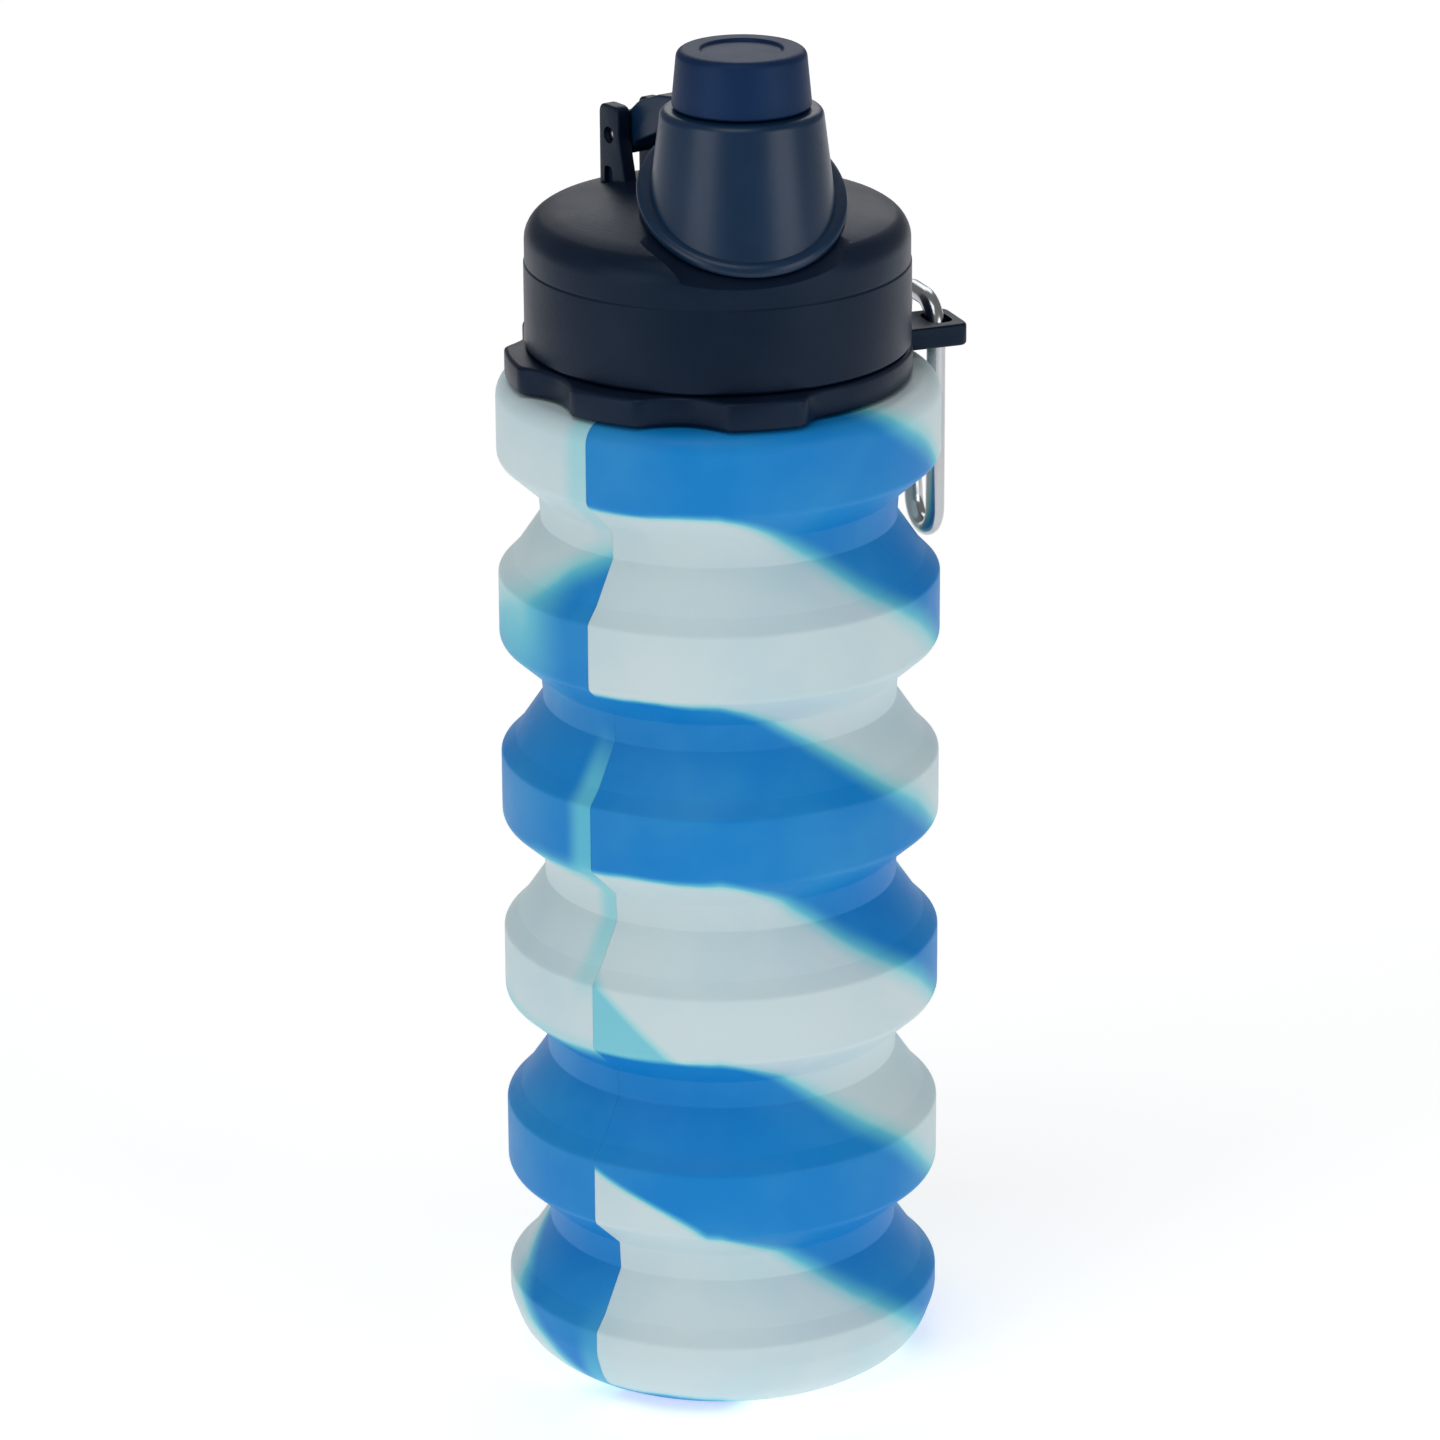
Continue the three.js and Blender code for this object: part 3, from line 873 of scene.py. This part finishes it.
class BottleLid(bpy.types.Operator):
    """Models the screw lid with its seat, hinge ears and spout bore"""

    bl_idname = "bottle.lid"
    bl_label = "Lid"

    def execute(self, context):
        lid = turned("lid_plastic_shell", self.section(), 160, smooth=40)
        r, foot, top = FLANGE_R - 0.4 * MM, 189.5 * MM, 215 * MM
        boss = turned("boss", [(0, foot), (r, foot), (r, top), (0, top)], 96, axis=(CAP_X, CAP_Y))
        cut(lid, boss, "UNION")
        ahead = 4 * MM  # the seat is open towards the front
        for forward in (0, ahead):
            place = leaning(-GAP) @ Matrix.Translation((0, -forward, 0))
            cut(lid, slab("seat", circle(FLANGE_R + GAP), 30 * MM, 0, place))
        for side in (-1, 1):
            cut(lid, self.ear(side), "UNION")
        bore, start = 5.9 * MM, 180 * MM  # the spout comes up through this hole
        section = [(0, start), (bore, start), (bore, top), (0, top)]
        cut(lid, turned("bore", section, 64, axis=(CAP_X, CAP_Y)))
        self.pockets(lid)
        dress(lid, lid_plastic())
        hand_over(lid, "lid", ["lid_shell"])
        return {"FINISHED"}

    def section(self):
        """Half of the lid cut through its middle, from the underside's centre out, up and over."""
        groove = 184.1 * MM
        land, land_r, bore = 186.9 * MM, 22.3 * MM, 27.7 * MM  # the land presses on the seal
        under = [
            (0, 193.9 * MM),
            (12 * MM, 192.9 * MM),
            (20 * MM, 191.3 * MM),
            (land_r, 190.4 * MM, 0.5 * MM),
        ]
        wall = [
            (land_r, land, 0.4 * MM),
            (bore, land, 0.5 * MM),
            (bore, LID_LOW, 0.5 * MM),
            (LID_R, LID_LOW, 0.6 * MM),
            (LID_R, groove - 0.4 * MM, 0.12 * MM),
            (LID_R - 0.2 * MM, groove - 0.1 * MM, 0.1 * MM),
            (LID_R - 0.15 * MM, groove + 0.2 * MM, 0.1 * MM),
            (LID_R - 0.15 * MM, 189.9 * MM, 4.2 * MM),
        ]
        steps, dome_r, dome_top = 10, 27.6 * MM, 196.2 * MM
        dome = []
        for i in range(steps + 1):
            r = dome_r * (1 - i / steps)
            dome.append((r, dome_top - 5.3 * MM * (r / (29 * MM)) ** 1.9))
        return under + wall + dome

    def ear(self, side):
        top, base, half = 206 * MM, 190.5 * MM, 2.7 * MM
        corners = [
            (-half, base),
            (half + 2.7 * MM, base),
            (half + 0.9 * MM, 197.5 * MM, 3 * MM),
            (half, PIN.z, 3 * MM),
            (half, top, 1.6 * MM),
            (-half, top, 1.6 * MM),
        ]
        thick, gap = 2.4 * MM, 5 * MM
        start = gap / 2 if side > 0 else -gap / 2 - thick
        place = upright(TO_CAP, (PIN.x, PIN.y, 0)) @ Matrix.Translation((0, 0, start))
        return slab("ear", rounded(corners), thick, 0.35 * MM, place)

    def pockets(self, lid):
        """The pin's holes, and the small pockets at the foot of each ear."""
        across = upright(TO_CAP, (PIN.x, PIN.y, 0))
        pin_hole = slab("pin_hole", circle(1.35 * MM, 32, (0, PIN.z)), 14 * MM, 0,
                        across @ Matrix.Translation((0, 0, -7 * MM)))
        cut(lid, pin_hole)
        for start in (-5.9 * MM, 4.1 * MM):
            corners = [(-1.3, 192.6), (1.0, 192.6), (1.0, 196.2), (-1.3, 196.2)]
            shape = rounded([(x * MM, z * MM, 1.0 * MM) for x, z in corners])
            place = across @ Matrix.Translation((0, 0, start))
            cut(lid, slab("pocket", shape, 1.8 * MM, 0, place))


class BottleSpout(bpy.types.Operator):
    """Models the drinking spout and the lid's seal"""

    bl_idname = "bottle.spout"
    bl_label = "Spout and Seal"

    def execute(self, context):
        self.spout()
        self.seal()
        return {"FINISHED"}

    def spout(self):
        bottom, top = low("drinking_spout").z, high("drinking_spout").z
        r, bore = 5.6 * MM, 3.6 * MM
        section = [
            (bore, bottom, 0.4 * MM),
            (8 * MM, bottom, 0.5 * MM),
            (8 * MM, bottom + 1.8 * MM, 0.6 * MM),
            (r, bottom + 1.8 * MM, 0.5 * MM),
            (r, top - 3.2 * MM, 0.6 * MM),
            (r + 0.7 * MM, top - 2.2 * MM, 0.6 * MM),
            (r + 0.5 * MM, top, 0.9 * MM),
            (bore, top, 0.9 * MM),
        ]
        piece = turned("drinking_spout_silicone", section, 72, closed=True, axis=(CAP_X, CAP_Y))
        dress(piece, seal_silicone())
        hand_over(piece, "lid", ["drinking_spout"])

    def seal(self):
        bottom, top = low("lid_seal").z, high("lid_seal").z
        inner, outer = 22.7 * MM, 27.2 * MM
        dip = 0.35 * MM
        section = [
            (inner, bottom, 0.3 * MM),
            (inner + 1.1 * MM, bottom, 0.2 * MM),
            (inner + 1.5 * MM, bottom + dip, 0.2 * MM),
            (outer - 1.5 * MM, bottom + dip, 0.2 * MM),
            (outer - 1.1 * MM, bottom, 0.2 * MM),
            (outer, bottom, 0.3 * MM),
            (outer, top, 0.5 * MM),
            (inner, top, 0.5 * MM),
        ]
        piece = turned("lid_seal_ring", section, 120, closed=True)
        dress(piece, seal_silicone())
        hand_over(piece, "lid_lift", ["lid_seal"])


# ---------------------------------------------------------------- cap


CAP_SIDE = [(15.5 * MM, 187.3 * MM), (12.5 * MM, 211 * MM)]  # the cap's sloping side


def cap_radius(z):
    (low_r, low_z), (top_r, top_z) = CAP_SIDE
    return low_r + (top_r - low_r) * (z - low_z) / (top_z - low_z)


class BottleCap(bpy.types.Operator):
    """Models the hinged spout cap with its leaning flange, arm and knob"""

    bl_idname = "bottle.cap"
    bl_label = "Spout Cap"

    def execute(self, context):
        colours = context.scene.bottle_lid
        cap = self.outside()
        cut(cap, slab("flange", circle(FLANGE_R, 144), 1.9 * MM, 0.7 * MM, leaning(0)), "UNION")
        cut(cap, slab("below", circle(30 * MM, 48), 40 * MM, 0, leaning(-40 * MM)))
        cut(cap, self.arm(), "UNION")
        cut(cap, self.hollow())
        across = upright(TO_CAP, (PIN.x, PIN.y, 0)) @ Matrix.Translation((0, 0, -6 * MM))
        cut(cap, slab("eye", circle(1.5 * MM, 32, (0, PIN.z)), 12 * MM, 0, across))
        dress(cap, material("cap", cap_material, colours.cap))
        hand_over(cap, "cap", ["flip_cap"])
        self.knob(colours)
        return {"FINISHED"}

    def outside(self):
        top = CAP_SIDE[1][1]
        section = [
            (0, CAP_SIDE[0][1]),
            (CAP_SIDE[0][0], CAP_SIDE[0][1]),
            (CAP_SIDE[1][0], top, 1.3 * MM),
            (0, top),
        ]
        return turned("flip_cap_plastic", section, 144, axis=(CAP_X, CAP_Y), smooth=50)

    def hollow(self):
        wall = 2.2 * MM
        ceiling = CAP_SIDE[1][1] - wall
        hole, start, top = 4.3 * MM, 183 * MM, 215 * MM  # the knob's stem sits in the hole
        section = [
            (0, start),
            (CAP_SIDE[0][0] - wall, start),
            (CAP_SIDE[0][0] - wall, CAP_SIDE[0][1]),
            (cap_radius(ceiling) - wall, ceiling),
            (hole, ceiling),
            (hole, top),
            (0, top),
        ]
        return turned("hollow", section, 96, axis=(CAP_X, CAP_Y))

    def arm(self):
        reach = TO_CAP.length
        side = reach - CAP_SIDE[1][0] + 1.2 * MM
        outline = [
            (9, 202.8, 1.2), (11.6, 205.6, 1.5), (side / MM, 206.2, 0),
            (side / MM, 210.3, 0), (9.5, 209.2, 4), (4, 207, 3),
        ]
        eye, steps = 3.4, 24  # the round end on the hinge pin
        for i in range(steps + 1):
            a = math.radians(76 + 270 * i / steps)
            outline.append((eye * math.cos(a), PIN.z / MM + eye * math.sin(a), 0))
        corners = [(x * MM, z * MM, size * MM) for x, z, size in outline]
        wide = 4.4 * MM
        place = upright(TO_CAP, (PIN.x, PIN.y, 0)) @ Matrix.Translation((0, 0, -wide / 2))
        return slab("arm", rounded(corners), wide, 0.4 * MM, place)

    def knob(self, colours):
        bottom = CAP_SIDE[1][1] + GAP
        top = high("cap_knob").z
        stem, plug = 4 * MM, low("cap_knob").z
        section = [
            (0, plug),
            (2 * MM, plug, 0.5 * MM),
            (3 * MM, plug + 2.9 * MM, 0.5 * MM),
            (5 * MM, plug + 3.1 * MM, 0.3 * MM),
            (5 * MM, plug + 3.9 * MM, 0.2 * MM),
            (stem, plug + 3.9 * MM),
            (stem, bottom),
            (10.8 * MM, bottom, 0.5 * MM),
            (9.95 * MM, top, 1.3 * MM),
            (6.5 * MM, top, 0.3 * MM),
            (6.1 * MM, top - 0.5 * MM, 0.25 * MM),
            (0, top - 0.35 * MM),
        ]
        piece = turned("cap_knob_plastic", section, 120, axis=(CAP_X, CAP_Y), smooth=40)
        dress(piece, material("knob", plastic_material, "soft_knob_plastic", colours.knob, 0.5))
        hand_over(piece, "cap", ["cap_knob"])


def cap_material(colour_of):
    """Satin moulded plastic with slight clouding of its colour and faint scuffs."""
    f = Finish("glossy_cap_plastic")
    place = f.place()
    cloud = f.noise(place, 45, 3)
    lighter = [min(1, c * 1.6 + 0.006) for c in colour_of]
    scuffs = f.noise(place, 420, 4, 0.6).step(0.55, 0.8)
    return f.surface(
        Base_Color=f.mix(cloud.step(0.3, 0.8) * 0.7, colour_of, lighter),
        Roughness=0.34 + scuffs * 0.1,
        Specular_IOR_Level=0.35,
        Normal=f.bump(f.noise(place, 1400, 2), 0.000008),
    )


class BottleHinge(bpy.types.Operator):
    """Models the steel pin of the cap's hinge"""

    bl_idname = "bottle.hinge"
    bl_label = "Hinge Pin"

    def execute(self, context):
        radius, half = 1.2 * MM, 4.0 * MM
        section = [
            (0, -half),
            (radius, -half, 0.3 * MM),
            (radius, half - 0.2 * MM, 0.3 * MM),
            (0.5 * MM, half, 0.1 * MM),
            (0, half - 0.2 * MM),
        ]
        piece = turned("hinge_pin_steel", section, 48)
        across = TO_CAP.normalized().cross(Vector((0, 0, 1)))
        placed(piece, along(across, PIN))
        dress(piece, drawn_steel())
        hand_over(piece, "lid", ["hinge_pin"])
        return {"FINISHED"}


# ---------------------------------------------------------------- snap hook


OUTWARD = Vector((math.cos(TAB_ANGLE), math.sin(TAB_ANGLE), 0))
ACROSS = Vector((-math.sin(TAB_ANGLE), math.cos(TAB_ANGLE), 0))
HOOK_ORIGIN = OUTWARD * SLOT_R
HOOK_WIDE = 14 * MM
ROD_R = 1.5 * MM
HOOK_TOP, HOOK_TOP_R = high("hook_body").z - ROD_R, 5 * MM
HOOK_LOW, HOOK_LOW_R = low("hook_body").z + ROD_R, 4.5 * MM
NOSE_Z = 163.6 * MM  # where the rod ends, opposite the gate's tip
GATE_S, GATE_Z = 9.6 * MM, 142.8 * MM  # the gate's pivot in the hook's plane
GATE_LONG = 19 * MM


def hook_point(s, z, out=0.0):
    return HOOK_ORIGIN + ACROSS * s + OUTWARD * out + Vector((0, 0, z))


def hook_arc(s, z, r, start, end, steps):
    turns = [math.radians(start + (end - start) * i / steps) for i in range(steps + 1)]
    return [hook_point(s + r * math.cos(a), z + r * math.sin(a)) for a in turns]


class BottleHook(bpy.types.Operator):
    """Models the snap hook, its gate and the gate's rivet"""

    bl_idname = "bottle.hook"
    bl_label = "Snap Hook"

    def execute(self, context):
        s = context.scene.bottle_hook
        metal = material("metal", metal_material, "polished_hook_metal", s.metal, 0.16)
        self.body(s, metal)
        self.gate(metal)
        self.rivet()
        assign_to_slots(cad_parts["gate_spring"], drawn_steel())
        return {"FINISHED"}

    def body(self, s, metal):
        top, bottom = HOOK_TOP - HOOK_TOP_R, HOOK_LOW + HOOK_LOW_R
        points = [
            hook_point(HOOK_WIDE, NOSE_Z),
            *hook_arc(HOOK_WIDE - HOOK_TOP_R, top, HOOK_TOP_R, 0, 90, 12),
            *hook_arc(HOOK_TOP_R, top, HOOK_TOP_R, 90, 180, 12),
            *hook_arc(HOOK_LOW_R, bottom, HOOK_LOW_R, 180, 360, 24),
            hook_point(2 * HOOK_LOW_R + 0.3 * MM, GATE_Z - 2.2 * MM),
        ]
        body = rod_along("snap_hook_rod", points, s.rod)
        centre = Matrix.Translation((0, 0, -0.5 * MM))
        plane = upright(ACROSS, HOOK_ORIGIN)
        tongue = rounded([
            (GATE_S - 1.1 * MM, GATE_Z - 3.2 * MM),
            (GATE_S + 0.8 * MM, GATE_Z - 3.2 * MM),
            (GATE_S + 1.1 * MM, GATE_Z + 1.1 * MM, 1.05 * MM),
            (GATE_S - 1.1 * MM, GATE_Z + 1.1 * MM, 1.05 * MM),
        ])
        cut(body, slab("tongue", tongue, 1 * MM, 0.1 * MM, plane @ centre), "UNION")
        cut(body, self.rivet_hole(plane))
        dress(body, metal)
        hand_over(body, "hook", ["hook_body"])

    def gate(self, metal):
        r, bore, low_end, top_end = 1.4 * MM, 0.85 * MM, -1.3 * MM, GATE_LONG
        bore_end = 2.4 * MM
        section = [
            (0, low_end),
            (r, low_end, 0.5 * MM),
            (r, top_end, 0.35 * MM),
            (bore, top_end, 0.2 * MM),
            (bore, bore_end),
            (0, bore_end),
        ]
        gate = turned("snap_hook_gate", section, 48)
        lean = Vector((HOOK_WIDE - GATE_S - 0.2 * MM, NOSE_Z - GATE_Z))
        direction = ACROSS * lean.x + Vector((0, 0, lean.y))
        pivot = hook_point(GATE_S, GATE_Z)
        placed(gate, along(direction, pivot))
        plane = upright(ACROSS, HOOK_ORIGIN)
        half = 2 * MM
        fork = [
            (GATE_S - half, GATE_Z - half),
            (GATE_S + half, GATE_Z - half),
            (GATE_S + half, GATE_Z + half),
            (GATE_S - half, GATE_Z + half),
        ]
        cut(gate, slab("fork", fork, 1.4 * MM, 0, plane @ Matrix.Translation((0, 0, -0.7 * MM))))
        cut(gate, self.rivet_hole(plane))
        dress(gate, metal)
        hand_over(gate, "gate", ["hook_gate"])

    def rivet_hole(self, plane):
        outline = circle(0.7 * MM, 24, (GATE_S, GATE_Z))
        return slab("hole", outline, 8 * MM, 0, plane @ Matrix.Translation((0, 0, -4 * MM)))

    def rivet(self):
        r, half = 0.5 * MM, 1.6 * MM
        section = [(0, -half), (r, -half, 0.2 * MM), (r, half, 0.2 * MM), (0, half)]
        piece = turned("gate_rivet_steel", section, 32)
        placed(piece, along(OUTWARD, hook_point(GATE_S, GATE_Z)))
        dress(piece, drawn_steel())
        hand_over(piece, "hook", ["gate_rivet"])


# ---------------------------------------------------------------- stage


class BottleStage(bpy.types.Operator):
    """Sets the floor, the soft studio lights and the camera"""

    bl_idname = "bottle.stage"
    bl_label = "Studio"

    def execute(self, context):
        s = context.scene.bottle_stage
        self.camera(context, s)
        self.floor(s)
        self.lights()
        self.world(context, s)
        context.scene.view_settings.view_transform = "Standard"
        return {"FINISHED"}

    def camera(self, context, s):
        middle = Vector((0, 0, 107.265 * MM))
        away = Vector((0, -math.cos(s.elevation), math.sin(s.elevation)))
        clean_start()
        bpy.ops.object.camera_add(location=middle + away * s.distance)
        camera = context.object
        camera.name = "studio_camera"
        camera.rotation_euler = (math.pi / 2 - s.elevation, 0, 0)
        bpy.context.view_layer.update()
        roll = Matrix.Rotation(math.radians(-0.302), 4, "Z")
        camera.matrix_world = camera.matrix_world @ roll
        camera.data.lens = s.lens
        camera.data.sensor_width = 36
        context.scene.camera = camera

    def floor(self, s):
        clean_start()
        bpy.ops.mesh.primitive_plane_add(size=6, location=(0, 2.2, -0.0002))
        floor = bpy.context.object
        floor.name = "studio_floor"
        f = Finish("studio_floor")
        cloud = f.noise(f.place(), 3, 2)
        darker = [c * 0.985 for c in s.floor]
        shade = f.mix(cloud, s.floor, darker)
        pale = f.surface(
            Base_Color=shade,
            Roughness=0.9,
            Specular_IOR_Level=0.1,
            Emission_Color=shade,
            Emission_Strength=0.55,
        )
        dress(floor, pale)

    def lights(self):
        # Name, place, side length and power of each light
        spots = [
            ("left_softbox", (-1.15, -0.95, 0.5), 0.9, 5.6),
            ("right_softbox", (1.2, -0.85, 0.45), 0.9, 5.8),
            ("top_softbox", (-0.2, -0.6, 1.35), 0.8, 4.0),
            ("back_softbox", (0.1, 1.3, 0.95), 1.0, 5.0),
        ]
        for name, place, size, power in spots:
            clean_start()
            bpy.ops.object.light_add(type="AREA", location=place)
            light = bpy.context.object
            light.name = name
            light.data.size = size
            light.data.energy = power
            aim = Vector((0, 0, 0.12)) - Vector(place)
            light.rotation_euler = aim.to_track_quat("-Z", "Y").to_euler()

    def world(self, context, s):
        world = bpy.data.worlds.new("studio")
        context.scene.world = world
        world.use_nodes = True
        background = world.node_tree.nodes["Background"]
        background.inputs["Color"].default_value = (1, 1, 1, 1)
        background.inputs["Strength"].default_value = 0.22


class BottlePanel(bpy.types.Panel):
    """Lists the pieces of the bottle"""

    bl_label = "Folding Bottle"
    bl_idname = "VIEW3D_PT_bottle"
    bl_space_type = "VIEW_3D"
    bl_region_type = "UI"
    bl_category = "Bottle"

    def draw(self, context):
        for operator in OPERATORS:
            self.layout.operator(operator.bl_idname)
        for name in SETTINGS:
            box = self.layout.box()
            group = getattr(context.scene, name)
            for key in group.bl_rna.properties.keys():
                if key not in ("rna_type", "name"):
                    box.prop(group, key)


SETTINGS = {
    "bottle_body": BodySettings,
    "bottle_lid": LidSettings,
    "bottle_hook": HookSettings,
    "bottle_stage": StageSettings,
}
OPERATORS = [
    BottleStage,
    BottleBody,
    BottleNeck,
    BottleLid,
    BottleSpout,
    BottleCap,
    BottleHinge,
    BottleHook,
]


def register():
    for group in SETTINGS.values():
        bpy.utils.register_class(group)
    for name, group in SETTINGS.items():
        setattr(bpy.types.Scene, name, bpy.props.PointerProperty(type=group))
    for operator in OPERATORS:
        bpy.utils.register_class(operator)
    bpy.utils.register_class(BottlePanel)


def unregister():
    bpy.utils.unregister_class(BottlePanel)
    for operator in reversed(OPERATORS):
        bpy.utils.unregister_class(operator)
    for name, group in SETTINGS.items():
        delattr(bpy.types.Scene, name)
        bpy.utils.unregister_class(group)


def main():
    register()
    for operator in OPERATORS:
        family, verb = operator.bl_idname.split(".")
        getattr(getattr(bpy.ops, family), verb)()
    clean_start()


if __name__ == "__main__":
    main()
